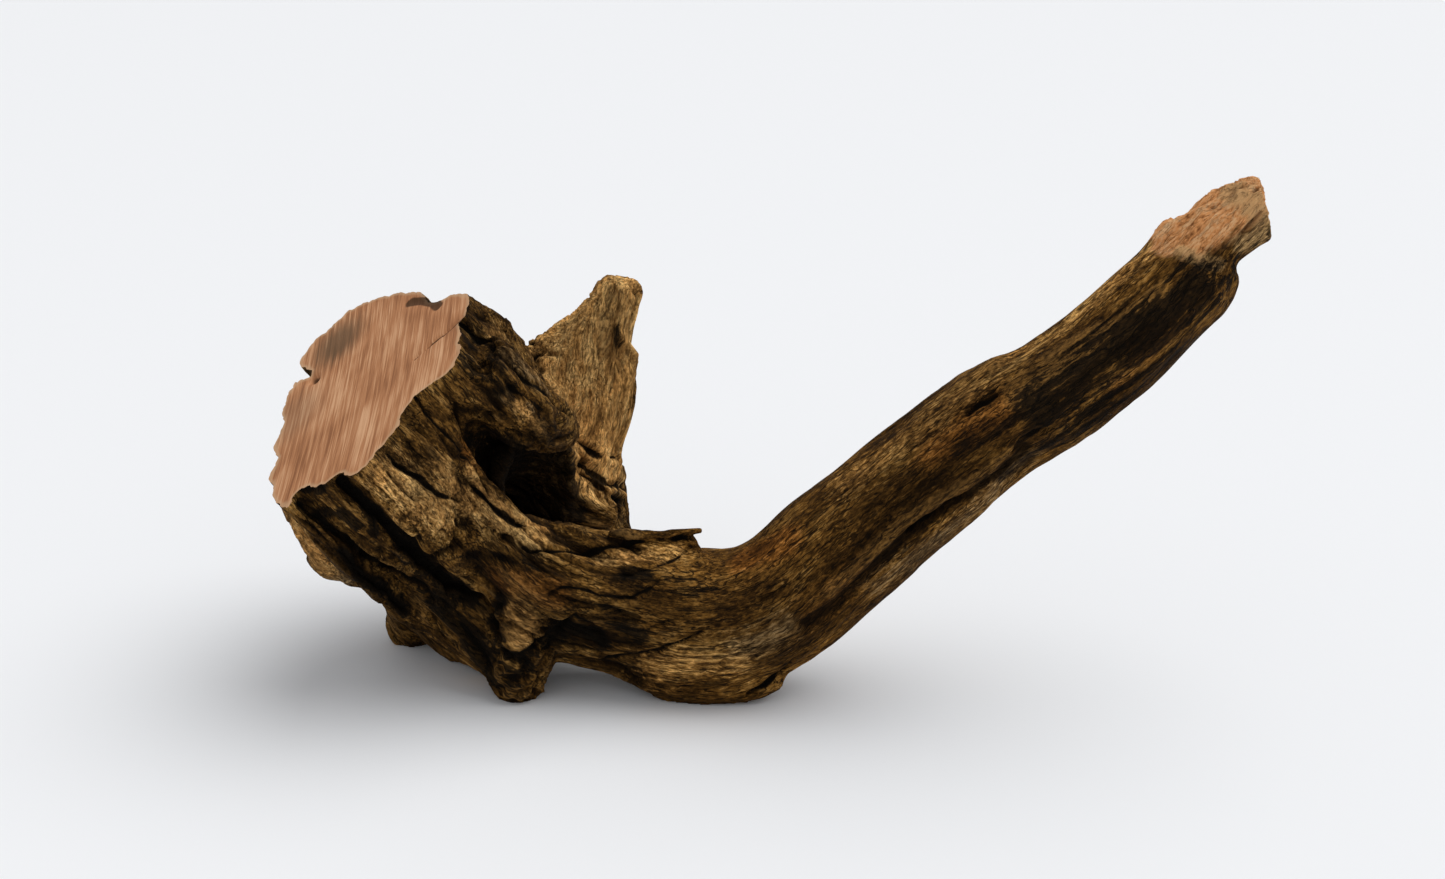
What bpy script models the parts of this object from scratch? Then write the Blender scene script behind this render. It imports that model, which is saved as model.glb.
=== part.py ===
"""A piece of driftwood: a sawn stump whose root crown splits into a long arm and a short spur.

The wood grew as one piece, so it is one solid. The stump is lofted down the grain from the
outline of the sawn face. Strands, each a curve with its own radius along the way, carry the
grain on into the arm, the spur and the root stubs that the piece stands on. Stump and strands
are fused into one skin, the rotted hollow is cut out, the skin is weathered along the grain,
and the ends are sawn and worn flat.

Blender units are metres, +Z is up, and the origin is on the ground under the middle of the piece.
All driving sizes below are millimetres.
"""

import bmesh
import bpy
import numpy as np
from mathutils import Matrix, Vector, noise

NAME = "driftwood"
MM = 0.001

# The sawn face: its middle, the direction it looks, and the two directions that lie in it.
SAW_CENTRE = Vector((-82, 2, 94))
SAW_NORMAL = Vector((-0.542, -0.305, 0.783)).normalized()
SAW_UP = Vector((0.697, 0.358, 0.622))
SAW_UP = (SAW_UP - SAW_UP.dot(SAW_NORMAL) * SAW_NORMAL).normalized()
SAW_BACK = SAW_NORMAL.cross(SAW_UP).normalized()
OVERRUN = 9

# The outline of the sawn face, mm up and back across it, clockwise from the lower left corner.
OUTLINE = [
    (-39, -6), (-37, 2), (-35, 11), (-30, 15), (-28, 23), (-23, 28), (-19, 37), (-13, 45),
    (-10, 47), (-5, 39), (-3, 41), (-5, 53), (-2, 57), (6, 59), (17, 57), (25, 51), (32, 41),
    (36, 32), (37, 22), (38, 15), (42, 12), (46, 4), (42, -3), (37, -5), (34, -13), (30, -19),
    (26, -25), (21, -24), (16, -22), (11, -17), (8, -21), (5, -22), (1, -26), (-5, -27),
    (-12, -29), (-18, -27), (-19, -20), (-22, -22), (-29, -15), (-31, -11), (-34, -13), (-38, -13),
]
OUTLINE_MIDDLE = (3, 14)
# Sections of the stump down the grain: depth, size against the sawn face, shift up and back.
STUMP = [
    (-OVERRUN, 1.0, 0, 0), (8, 1.0, 0, 0), (30, 1.02, 0, 0), (50, 0.98, -1, 0), (66, 0.9, -4, 0),
    (78, 0.78, -7, 1), (86, 0.6, -8, 2),
]

# The square break at the tip of the arm: a place on it, and the direction it looks.
TIP_BREAK = (Vector((182.7, 10, 152.5)), Vector((0.96, -0.08, 0.26)).normalized())
# The middle of the piece on the ground, in the places above and below.
ORIGIN = Vector((36.4, 22.3, 1.7))
FLATS = ((SAW_CENTRE, SAW_NORMAL), TIP_BREAK, (ORIGIN, Vector((0, 0, -1))))
# Skin this close to a flat is laid onto it, so that the flats stay flat when it is thinned.
LEVEL = 0.1

SKIN_VOXEL = 1.3
SMOOTHING = 4
HOLLOW_SMOOTHING = 3
TRIANGLES = 11_500


def saw(up, back, depth):
    """A place by the sawn face: mm up and back across it, and mm down into the wood."""
    return tuple(SAW_CENTRE + up * SAW_UP + back * SAW_BACK - depth * SAW_NORMAL)


# Each strand is its stations, (place, radius), from the wood that it grows out of to its end.
BODY = {
    "arm": [
        (saw(-3, -4, 40), 16), (saw(-1, -4, 55), 18.5),
        ((-26, 8, 31), 20), ((-1, 4, 26), 20.5), ((18, 1, 25), 21.5), ((36, 0, 28), 21.5),
        ((60, 1, 47), 20.5), ((77, 2, 62), 19.5), ((89, 3, 72), 19), ((105, 4, 86), 17.8),
        ((117, 5, 93), 17), ((128, 6, 100), 16.5), ((140, 7, 109), 16.5), ((151, 8, 120), 16),
        ((164, 9, 132), 15), ((171, 9, 138), 10),
    ],
    "arm_belly": [
        ((-8, 0, 16), 9), ((8, -3, 12.5), 13), ((26, -3, 12.5), 14), ((44, -1, 24), 13),
        ((62, 0, 40), 12),
    ],
    "arm_tongue": [
        ((158, 9, 132), 11), ((172, 10, 146), 10.5), ((181, 10, 151.5), 10),
        ((191, 10, 154), 9.5),
    ],
    "arm_nub": [
        ((146, 11, 122), 8), ((155, 12, 138), 6), ((159, 12, 147), 4),
    ],
    "back": [
        (saw(0, 28, 40), 22), ((-44, 44, 40), 22), ((-38, 46, 24), 20),
    ],
    "back_high": [
        (saw(25, 22, 20), 18), ((-46, 46, 78), 16), ((-38, 54, 78), 15), ((-32, 56, 68), 15),
    ],
    "knob": [
        (saw(-22, 12, 50), 17), ((-72, 31, 24), 15), ((-76, 33, 12), 10), ((-78, 34, -3), 5.5),
    ],
    "left_flare": [
        (saw(-33, 6, 8), 7), (saw(-36, 8, 24), 8.5), (saw(-38, 11, 36), 9),
        (saw(-34, 14, 48), 8), (saw(-30, 18, 60), 8),
    ],
    "top_ridge": [
        (saw(40, 4, 3), 6.5), (saw(42, 4, 18), 7), (saw(41, 9, 30), 8),
    ],
    "shoulder": [
        (saw(-2, -15, 30), 12), (saw(-3, -15, 48), 13), ((-35, -1, 43), 14), ((-20, -3, 38), 14),
        ((0, -3, 36), 12), ((20, -3, 36), 12),
    ],
    "front_stub": [
        ((-40, 2, 45), 11), ((-36, -4, 32), 12), ((-34, -7, 22), 10),
    ],
    "front_low": [
        (saw(-20, -6, 50), 13), ((-58, 6, 26), 12), ((-46, 0, 16), 10), ((-39, -6, 6), 8),
    ],
    "foot": [
        ((-34, -2, 32), 13), ((-37, -6, 20), 10.5), ((-38, -6, 8), 9), ((-39, -4, -3), 5),
    ],
    "rear_root": [
        ((-30, 46, 28), 17), ((-26, 53, 13), 12), ((-24, 56, -3), 6),
    ],
    "sole_left": [
        ((-75, 34, 16), 10), ((-62, 22, 11), 8.5), ((-50, 10, 11), 8.5), ((-41, -2, 10), 8.5),
    ],
    "sole_back": [
        ((-70, 38, 20), 12), ((-48, 44, 17), 12), ((-28, 50, 16), 11),
    ],
    "elbow_splinter": [
        ((18, -9, 7), 5), ((34, -11, 5.5), 3.2), ((45, -10, 7), 1.4),
    ],
    "spur_left": [
        ((-34, 48, 30), 16), ((-38, 52, 50), 16), ((-38, 56, 68), 14), ((-36, 58, 84), 11),
        ((-26, 60, 91), 9.5), ((-17.5, 61, 102), 7.5), ((-9.5, 62, 114), 5.5),
    ],
    "spur_middle": [
        ((-28, 50, 24), 18), ((-26, 54, 42), 17), ((-24, 58, 60), 15), ((-20, 59, 78), 13),
        ((-13.5, 61, 96), 9), ((-7, 62, 116.5), 5.5),
    ],
    "spur_right": [
        ((-20, 46, 20), 14), ((-17, 54, 33), 11), ((-14.5, 56, 49), 9), ((-14, 57, 62), 6.5),
        ((-11, 58, 70), 6.5), ((-9, 60, 85), 6.5), ((-10.5, 60, 97), 6), ((-5, 61, 114), 5.5),
    ],
}
# The rotted hollow, and the valley that leads down to it from the edge of the sawn face.
HOLLOW = {
    "valley": [
        (saw(13, -26, -OVERRUN), 2), (saw(13, -26, 4), 3.5), (saw(16, -25, 16), 6),
        (saw(18, -21, 28), 9), (saw(19, -14, 44), 15),
    ],
    "pocket": [
        ((-35, 19, 46), 12), ((-30, 16, 58), 16), ((-20, 14, 70), 17), ((-8, 16, 78), 17),
        ((6, 18, 86), 17),
    ],
    "rot": [
        ((-24, 18, 62), 13), ((-36, 24, 49), 14), ((-49, 28, 44), 12), ((-58, 30, 46), 8),
    ],
    "pocket_right": [
        ((-27, 20, 52), 11), ((-14, 22, 56), 12), ((0, 24, 66), 13),
    ],
}
# What stands round the hollow: its rim, the plank that hangs over it, the folds behind it.
FRAME = {
    "rim": [
        (saw(7, -16, 4), 7), (saw(6, -18, 20), 7), (saw(3, -19, 36), 7), ((-42, -3, 58), 7),
        ((-31, 0, 51), 7), ((-13, 0, 47.5), 6.5), ((2, 0, 47.5), 5), ((17, 0, 50), 2.5),
    ],
    "plank": [
        (saw(30, -11, 10), 12.5), (saw(32, -10, 32), 11.5), (saw(35, -6, 46), 9),
        (saw(37, -3, 54), 6),
    ],
    "fold_high": [
        ((-34, 44, 80), 4), ((-26, 44, 70), 4.5), ((-18, 47, 62), 5), ((-13, 50, 57), 4.5),
    ],
    "fold_middle": [
        ((-35, 41, 74), 4), ((-27, 41, 62), 4.5), ((-18, 44, 53), 5), ((-11, 47, 48), 4),
    ],
    "fold_low": [
        ((-36, 39, 68), 4.5), ((-29, 39, 54), 5), ((-20, 41, 44), 6), ((-11, 44, 40), 5),
    ],
}


# The lines that the grain follows, from the sawn face into the arm and into the spur, with the
# spacing of the stations along them and how far one station's pull reaches, in square mm.
GRAIN = {
    "arm": [
        saw(4, 10, -OVERRUN), saw(4, 8, 30), (-44, 12, 45), (-22, 8, 31), (0, 4, 26), (18, 1, 25),
        (36, 0, 28), (60, 1, 47), (89, 3, 72), (117, 5, 93), (140, 7, 109), (162, 9, 132),
        (182, 10, 155),
    ],
    "spur": [
        saw(4, 10, -OVERRUN), saw(4, 14, 30), (-46, 34, 58), (-30, 52, 58), (-20, 58, 78),
        (-10, 62, 116),
    ],
}
GRAIN_STEP = 3
GRAIN_BLEND = 450
# The valleys that the weather has cut deepest, each with its depth and half its width.
VALLEYS = {
    "stump_high": (
        [(-85, -22, 78), (-77, -19, 69), (-72, -17, 61), (-66, -13, 52), (-58, -7, 41),
         (-51, -6, 34), (-46, -11, 26)], 3.0, 3.0,
    ),
    "stump_low": (
        [(-98, -20, 72), (-93, -18, 64), (-86, -14, 55), (-80, -11, 47), (-73, -6, 36),
         (-66, -5, 29), (-59, -6, 20)], 2.5, 2.5,
    ),
    "spur_crease": ([(-12, 55, 112), (-14, 52, 102), (-13, 51, 94), (-12, 50, 84)], 2.0, 2.5),
}
# The ridges that the weather has left: height, and wavelength across and along the grain.
RELIEF = ((1.1, 13, 70), (0.7, 6.5, 34))
# Each relief is a share of its height less a fold of the noise, so that grooves are sharp.
CREST = 0.5
FOLD = 2.2


def clear_scene():
    for obj in list(bpy.data.objects):
        bpy.data.objects.remove(obj)


def mesh_of(obj):
    """The mesh of an object with its modifiers applied."""
    graph = bpy.context.evaluated_depsgraph_get()
    return bpy.data.meshes.new_from_object(obj.evaluated_get(graph))


def strands(name, table, collection):
    """Every strand of a table as a closed tube, together in one mesh object."""
    data = bpy.data.curves.new(name + "_paths", "CURVE")
    data.dimensions = "3D"
    data.bevel_depth = MM
    data.bevel_resolution = 4
    data.resolution_u = 5
    data.use_fill_caps = True
    for stations in table.values():
        spline = data.splines.new("BEZIER")
        spline.bezier_points.add(len(stations) - 1)
        for point, (place, radius) in zip(spline.bezier_points, stations):
            point.co = Vector(place) * MM
            point.radius = radius
            point.handle_left_type = point.handle_right_type = "AUTO"
    curve = bpy.data.objects.new(name + "_paths", data)
    collection.objects.link(curve)
    bpy.context.view_layer.update()
    obj = bpy.data.objects.new(name, mesh_of(curve))
    collection.objects.link(obj)
    bpy.data.objects.remove(curve)
    return obj


def stump(collection):
    """The stump: the outline of the sawn face, lofted down the grain."""
    bm = bmesh.new()
    middle_up, middle_back = OUTLINE_MIDDLE
    rings = []
    for depth, size, up, back in STUMP:
        ring = []
        for point_up, point_back in OUTLINE:
            place = saw(
                middle_up + (point_up - middle_up) * size + up,
                middle_back + (point_back - middle_back) * size + back,
                depth,
            )
            ring.append(bm.verts.new(Vector(place) * MM))
        rings.append(ring)
    for near, far in zip(rings, rings[1:]):
        for i in range(len(near)):
            j = (i + 1) % len(near)
            bm.faces.new((near[i], near[j], far[j], far[i]))
    bm.faces.new(rings[0])
    bm.faces.new(rings[-1])
    bmesh.ops.recalc_face_normals(bm, faces=bm.faces)
    data = bpy.data.meshes.new("stump")
    bm.to_mesh(data)
    bm.free()
    obj = bpy.data.objects.new("stump", data)
    collection.objects.link(obj)
    return obj


def merge(obj, other):
    """Take the mesh of another object into this one, and drop the other."""
    bm = bmesh.new()
    bm.from_mesh(obj.data)
    bm.from_mesh(other.data)
    bm.to_mesh(obj.data)
    bm.free()
    bpy.data.objects.remove(other)


def fuse(obj, smoothing):
    """Close everything in the object into one skin and wear it smooth."""
    remesh = obj.modifiers.new("fuse", "REMESH")
    remesh.mode = "VOXEL"
    remesh.voxel_size = SKIN_VOXEL * MM
    smooth = obj.modifiers.new("wear", "SMOOTH")
    smooth.factor = 0.5
    smooth.iterations = smoothing
    bpy.context.view_layer.update()
    obj.data = mesh_of(obj)
    obj.modifiers.clear()


def grain_frames():
    """Stations along the lines of the grain: place, length so far, and three axes."""
    stations = []
    for line in GRAIN.values():
        place = Vector(line[0])
        up, back = SAW_UP.copy(), SAW_BACK.copy()
        along = -SAW_NORMAL
        length = 0.0
        for start, end in zip(line, line[1:]):
            start, end = Vector(start), Vector(end)
            steps = max(1, round((end - start).length / GRAIN_STEP))
            for step in range(steps):
                place = start.lerp(end, (step + 0.5) / steps)
                heading = along.lerp((end - start).normalized(), 0.35).normalized()
                turn = along.rotation_difference(heading)
                along = heading
                up, back = turn @ up, turn @ back
                length += (end - start).length / steps
                stations.append((*place, length, *along, *up, *back))
    return np.array(stations)


def grain_coordinates(points):
    """Length along the grain, and mm up and back across it, for each point."""
    frames = grain_frames()
    offset = points[:, None, :] - frames[None, :, :3]
    distance = (offset ** 2).sum(2)
    weight = np.exp((distance.min(1)[:, None] - distance) / GRAIN_BLEND)
    weight /= weight.sum(1)[:, None]
    along, up, back = (
        np.einsum("psk,sk->ps", offset, frames[:, i:i + 3]) for i in (4, 7, 10)
    )
    length = ((along + frames[None, :, 3]) * weight).sum(1)
    return np.stack((length, (up * weight).sum(1), (back * weight).sum(1)), 1)


def weather(obj):
    """Wear the skin in along the grain, and deepen the valleys."""
    mesh = obj.data
    points = np.empty(len(mesh.vertices) * 3)
    mesh.vertices.foreach_get("co", points)
    points = points.reshape(-1, 3) / MM
    normals = np.empty(len(mesh.vertices) * 3)
    mesh.vertex_normals.foreach_get("vector", normals)
    normals = normals.reshape(-1, 3)
    grain = grain_coordinates(points)
    relief = np.zeros(len(points))
    for height, across, along in RELIEF:
        scaled = grain / (along, across, across)
        ridges = np.array([noise.noise(Vector(place)) for place in scaled])
        relief += height * (CREST - FOLD * np.abs(ridges))
    for line, depth, half_width in VALLEYS.values():
        nearest = np.full(len(points), np.inf)
        for start, end in zip(line, line[1:]):
            start, run = np.array(start), np.subtract(end, start)
            part = np.clip((points - start) @ run / (run @ run), 0, 1)
            gap = np.linalg.norm(points - start - part[:, None] * run, axis=1)
            nearest = np.minimum(nearest, gap)
        relief -= depth * np.exp(-(nearest / half_width) ** 2)
    points += normals * relief[:, None]
    mesh.vertices.foreach_set("co", (points * MM).ravel())
    mesh.update()


def hollow_out(wood, cutters):
    """Cut the hollow out of the wood, and fuse on what stands round it."""
    hollow = strands("hollow", HOLLOW, cutters)
    fuse(hollow, HOLLOW_SMOOTHING)
    hollow.hide_render = True
    hollow.display_type = "WIRE"
    carve = wood.modifiers.new("carve", "BOOLEAN")
    carve.operation = "DIFFERENCE"
    carve.solver = "EXACT"
    carve.object = hollow
    bpy.context.view_layer.update()
    wood.data = mesh_of(wood)
    wood.modifiers.clear()
    merge(wood, strands("frame", FRAME, cutters))
    fuse(wood, SMOOTHING)


def cut_flats(wood):
    """Saw the stump off, break the tip off square and level the feet."""
    bm = bmesh.new()
    bm.from_mesh(wood.data)
    for place, normal in FLATS:
        cut = bmesh.ops.bisect_plane(
            bm, geom=bm.verts[:] + bm.edges[:] + bm.faces[:], dist=1e-6,
            plane_co=place * MM, plane_no=normal, clear_outer=True,
        )
        edges = [e for e in cut["geom_cut"] if isinstance(e, bmesh.types.BMEdge)]
        bmesh.ops.holes_fill(bm, edges=edges)
    bmesh.ops.triangulate(bm, faces=bm.faces)
    bm.to_mesh(wood.data)
    bm.free()


def thin_out(wood):
    """Keep the triangles that the form needs, and lay the edges of the flats back on them."""
    thin = wood.modifiers.new("thin", "DECIMATE")
    thin.ratio = TRIANGLES / len(wood.data.polygons)
    bpy.context.view_layer.update()
    wood.data = mesh_of(wood)
    wood.modifiers.clear()
    for place, normal in FLATS:
        for vertex in wood.data.vertices:
            gap = (vertex.co - place * MM).dot(normal)
            if gap > -LEVEL * MM:
                vertex.co -= gap * normal


def wood_material():
    material = bpy.data.materials.new("weathered_wood")
    material.use_nodes = True
    shader = material.node_tree.nodes["Principled BSDF"]
    shader.inputs["Base Color"].default_value = (0.16, 0.085, 0.04, 1)
    shader.inputs["Roughness"].default_value = 0.8
    return material


def main():
    clear_scene()
    collection = bpy.data.collections.new(NAME)
    cutters = bpy.data.collections.new("cutters")
    bpy.context.scene.collection.children.link(collection)
    bpy.context.scene.collection.children.link(cutters)
    wood = strands(NAME, BODY, collection)
    merge(wood, stump(cutters))
    fuse(wood, SMOOTHING)
    hollow_out(wood, cutters)
    weather(wood)
    cut_flats(wood)
    thin_out(wood)
    wood.data.transform(Matrix.Translation(-ORIGIN * MM))
    wood.data.materials.append(wood_material())
    print(NAME, len(wood.data.polygons), "triangles")


main()
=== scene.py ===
# %% [markdown]
# # A piece of driftwood
# This notebook dresses one lump of driftwood. The real thing is a stump that was sawn
# off at one end, with a hollow beside it, a short spur behind and one long arm that
# ends in a torn, orange break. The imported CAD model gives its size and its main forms.
# Here it gets its grain, cracks, stains and finishes.
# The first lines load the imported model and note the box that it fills, because the
# dressed wood has to stay inside that box.

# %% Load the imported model
import math

import bmesh
import bpy
import numpy as np
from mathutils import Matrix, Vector, bvhtree, kdtree, noise


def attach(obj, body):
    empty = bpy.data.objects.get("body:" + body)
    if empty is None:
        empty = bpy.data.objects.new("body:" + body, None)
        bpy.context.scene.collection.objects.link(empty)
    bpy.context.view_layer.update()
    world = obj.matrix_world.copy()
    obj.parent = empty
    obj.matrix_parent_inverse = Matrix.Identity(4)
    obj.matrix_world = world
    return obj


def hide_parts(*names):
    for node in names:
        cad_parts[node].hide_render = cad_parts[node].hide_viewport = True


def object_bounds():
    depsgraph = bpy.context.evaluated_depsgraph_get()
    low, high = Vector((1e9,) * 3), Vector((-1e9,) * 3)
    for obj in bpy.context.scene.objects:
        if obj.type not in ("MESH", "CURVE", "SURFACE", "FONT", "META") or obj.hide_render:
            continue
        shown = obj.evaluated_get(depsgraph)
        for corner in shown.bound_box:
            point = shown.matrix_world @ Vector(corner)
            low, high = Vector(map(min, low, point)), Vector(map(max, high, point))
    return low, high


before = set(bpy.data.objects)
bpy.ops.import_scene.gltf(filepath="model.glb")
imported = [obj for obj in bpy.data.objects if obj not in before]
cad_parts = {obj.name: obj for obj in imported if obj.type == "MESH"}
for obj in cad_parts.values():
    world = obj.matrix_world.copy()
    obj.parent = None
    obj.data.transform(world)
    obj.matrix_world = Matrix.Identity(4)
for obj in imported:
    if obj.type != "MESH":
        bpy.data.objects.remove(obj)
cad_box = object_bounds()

MM = 0.001
scene = bpy.context.scene
cad_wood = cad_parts["driftwood"]
print("CAD box in mm:", [[round(c / MM, 1) for c in corner] for corner in cad_box])

# %% [markdown]
# ## Camera, light and floor
# The wood lies on a white table under one wide soft lamp. The camera looks along the
# table, 20 degrees downwards. A long lens could flatten the shape more, but the near
# arm and the far spur show that the picture was taken from close by, so the camera
# stands 60 cm away with a normal lens. It comes first, so that every later step can be
# looked at from the right place.

# %% Place the camera
LOOK_DOWN = math.radians(20)
CAMERA_AWAY = 0.6
AIM = Vector((-0.0117, -0.0223, 0.0818))
camera = bpy.data.objects.new("camera", bpy.data.cameras.new("camera"))
camera.data.lens, camera.data.sensor_width = 50, 36
camera.location = AIM + CAMERA_AWAY * Vector((0, -math.cos(LOOK_DOWN), math.sin(LOOK_DOWN)))
camera.rotation_euler = (math.pi / 2 - LOOK_DOWN, 0, 0)
camera.data.clip_start, camera.data.clip_end = 0.01, 20
scene.collection.objects.link(camera)
scene.camera = camera
print("camera at", [round(c, 3) for c in camera.location])

# %% [markdown]
# The light is a white room and a wide sky light from above, a little behind the wood and
# to its right. That makes the tops and the sawn face bright, the near sides dark, and
# the shadows on the table soft. A lamp close by would leave the far table dim, and the
# real picture is evenly white, so the light is a sun with a very wide disc.

# %% Light the room
ROOM_LIGHT = 0.55
SKY_LIGHT = 1.85
SKY_WIDTH = math.radians(62)
SKY_FROM = Vector((0.48, 0.24, 1))
room = bpy.data.worlds.new("white_room")
room.use_nodes = True
room.node_tree.nodes["Background"].inputs["Color"].default_value = (0.96, 0.975, 1, 1)
room.node_tree.nodes["Background"].inputs["Strength"].default_value = ROOM_LIGHT
scene.world = room
sky = bpy.data.objects.new("sky_light", bpy.data.lights.new("sky_light", "SUN"))
sky.data.energy, sky.data.angle = SKY_LIGHT, SKY_WIDTH
sky.location = SKY_FROM
sky.rotation_euler = (-SKY_FROM).to_track_quat("-Z", "Y").to_euler()
scene.collection.objects.link(sky)
scene.view_settings.view_transform = "Standard"
print("light from", [round(c, 2) for c in SKY_FROM.normalized()])

# %% [markdown]
# ## Places on the wood
# Everything below is measured in millimetres from one corner of the bench, the same
# corner that the CAD model was drawn from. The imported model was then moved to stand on
# the origin, so one vector turns a bench place into a place in the model. The sawn face
# has a centre, the way it looks, and two directions that lie in it.

# %% Name the main places
BENCH_CORNER = Vector((36.4, 22.3, 1.7))
SAW_CENTRE = Vector((-82, 2, 94))
SAW_NORMAL = Vector((-0.542, -0.305, 0.783)).normalized()
SAW_UP = Vector((0.697, 0.358, 0.622))
SAW_UP = (SAW_UP - SAW_UP.dot(SAW_NORMAL) * SAW_NORMAL).normalized()
SAW_BACK = SAW_NORMAL.cross(SAW_UP).normalized()


def at_saw(up, back, depth):
    """A bench place by its distances along the sawn face and below it."""
    return SAW_CENTRE + up * SAW_UP + back * SAW_BACK - depth * SAW_NORMAL


def bench(points):
    """Places of the model in metres, as bench millimetres."""
    return points / MM + np.array(BENCH_CORNER)


def model(points):
    """Bench millimetres, as places of the model in metres."""
    return (points - np.array(BENCH_CORNER)) * MM


print("sawn face looks towards", [round(c, 2) for c in SAW_NORMAL])

# %% [markdown]
# ## The block to carve
# The CAD model has about ten thousand triangles, which is too coarse for grain. A
# subdivision surface would keep its triangles as a pattern of facets. A voxel remesh
# replaces them with small even squares, so that is what is used, and a few rounds of
# smoothing take the last facets away. The sawn face would lose its crisp rim in this,
# so it is pushed out first by a few millimetres, and sawn off again at the end, as the
# real one was. A loose splinter lies along the top of the root. It is a thin cone, set
# into the block before the remesh, which joins the two into one skin.

# %% Lengthen the sawn end and remesh
SAW_SPARE = 5
VOXEL = 0.75
SMOOTHING = 6
SPLINTER_START, SPLINTER_END = (-10, -2.6, 53.4), (18.6, -0.6, 54.2)
SPLINTER_THICK, SPLINTER_THIN = 1.5, 0.95

block = bmesh.new()
block.from_mesh(cad_wood.data)
bmesh.ops.remove_doubles(block, verts=block.verts, dist=0.01 * MM)
plane_place = (SAW_CENTRE - BENCH_CORNER) * MM
sawn = [face for face in block.faces
        if face.normal.dot(SAW_NORMAL) > 0.999
        and abs((face.calc_center_median() - plane_place).dot(SAW_NORMAL)) < 0.2 * MM]
pushed = bmesh.ops.extrude_face_region(block, geom=sawn)["geom"]
bmesh.ops.delete(block, geom=[face for face in sawn if face.is_valid], context="FACES")
bmesh.ops.translate(block, verts=[v for v in pushed if isinstance(v, bmesh.types.BMVert)],
                    vec=SAW_SPARE * MM * SAW_NORMAL)
bmesh.ops.triangulate(block, faces=block.faces)
start, end = ((Vector(place) - BENCH_CORNER) * MM for place in (SPLINTER_START, SPLINTER_END))
splinter = bmesh.ops.create_cone(block, cap_ends=True, segments=12,
                                 radius1=SPLINTER_THICK * MM, radius2=SPLINTER_THIN * MM,
                                 depth=(end - start).length)["verts"]
bmesh.ops.rotate(block, verts=splinter, cent=(0, 0, 0),
                 matrix=(end - start).to_track_quat("Z", "Y").to_matrix())
bmesh.ops.translate(block, verts=splinter, vec=(start + end) / 2)
mesh = bpy.data.meshes.new("driftwood_block")
block.to_mesh(mesh)
block.free()
wood = bpy.data.objects.new("weathered_driftwood", mesh)
scene.collection.objects.link(wood)


def apply_modifiers(piece):
    """Puts what the modifiers make into the piece's own mesh."""
    made = bpy.data.meshes.new_from_object(
        piece.evaluated_get(bpy.context.evaluated_depsgraph_get()))
    piece.modifiers.clear()
    piece.data = made


remesh = wood.modifiers.new("fine squares", "REMESH")
remesh.mode, remesh.voxel_size = "VOXEL", VOXEL * MM
apply_modifiers(wood)
print(len(sawn), "sawn faces lengthened;", len(wood.data.vertices), "points after the remesh")

# %% Smooth the facets away
block = bmesh.new()
block.from_mesh(wood.data)
for _ in range(SMOOTHING):
    bmesh.ops.smooth_vert(block, verts=block.verts, factor=0.5,
                          use_axis_x=True, use_axis_y=True, use_axis_z=True)
block.to_mesh(wood.data)
block.free()
wood.data.update()
print("smoothed", SMOOTHING, "times")

# %% [markdown]
# ## Which way the grain runs
# Wood grain follows the limb that it grew in, so every mark on the surface needs to
# know how far along the limb it is, and how far across. A texture on plain X, Y and Z
# would run straight through the bends. Two lines are drawn instead, from the sawn face
# into the arm and into the spur. A small frame slides along each line, turning as
# little as it can, and each point of the surface reads its place in the frames nearest
# to it. The result is three numbers in millimetres: length, up and back.

# %% Draw the two grain lines
OVERRUN = 9
GRAIN_LINES = {
    "arm": [at_saw(4, 10, -OVERRUN), at_saw(4, 8, 30), (-44, 12, 45), (-22, 8, 31),
            (0, 4, 26), (18, 1, 25), (36, 0, 28), (60, 1, 47), (89, 3, 72),
            (117, 5, 93), (140, 7, 109), (162, 9, 132), (182, 10, 155)],
    "spur": [at_saw(4, 10, -OVERRUN), at_saw(4, 14, 30), (-46, 34, 58), (-30, 52, 58),
             (-20, 58, 78), (-10, 62, 116)],
}
STATION_STEP = 3
TURN_SHARE = 0.35


def grain_stations():
    """Rows of place, length so far, and the directions along, up and back."""
    stations = []
    for line in GRAIN_LINES.values():
        up, back, along, length = SAW_UP.copy(), SAW_BACK.copy(), -SAW_NORMAL, 0.0
        for start, end in zip(line, line[1:]):
            start, end = Vector(start), Vector(end)
            steps = max(1, round((end - start).length / STATION_STEP))
            for step in range(steps):
                place = start.lerp(end, (step + 0.5) / steps)
                heading = along.lerp((end - start).normalized(), TURN_SHARE).normalized()
                turn = along.rotation_difference(heading)
                along, up, back = heading, turn @ up, turn @ back
                length += (end - start).length / steps
                stations.append((*place, length, *along, *up, *back))
    return np.array(stations)


print(len(grain_stations()), "grain stations")

# %% Measure the grain at every point
GRAIN_BLEND = 450
CHUNK = 8000


def grain_of(points):
    """Length, up and back of bench places, blended from the nearest stations."""
    stations = grain_stations()
    parts = []
    for first in range(0, len(points), CHUNK):
        offset = points[first:first + CHUNK, None, :] - stations[None, :, :3]
        distance = (offset ** 2).sum(2)
        weight = np.exp((distance.min(1)[:, None] - distance) / GRAIN_BLEND)
        weight /= weight.sum(1)[:, None]
        along, up, back = (np.einsum("psk,sk->ps", offset, stations[:, i:i + 3])
                           for i in (4, 7, 10))
        length = ((along + stations[None, :, 3]) * weight).sum(1)
        parts.append(np.stack((length, (up * weight).sum(1), (back * weight).sum(1)), 1))
    return np.concatenate(parts)


def read_points(mesh, what="co"):
    """The places or normals of a mesh's points, one row each."""
    values = np.empty(len(mesh.vertices) * 3, np.float32)
    mesh.vertices.foreach_get(what, values)
    return values.reshape(-1, 3).astype(float)


smooth_places = bench(read_points(wood.data))
outwards = read_points(wood.data, "normal")
grain = grain_of(smooth_places)
print("grain runs from", grain[:, 0].min().round(), "to", grain[:, 0].max().round(), "mm")

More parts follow.
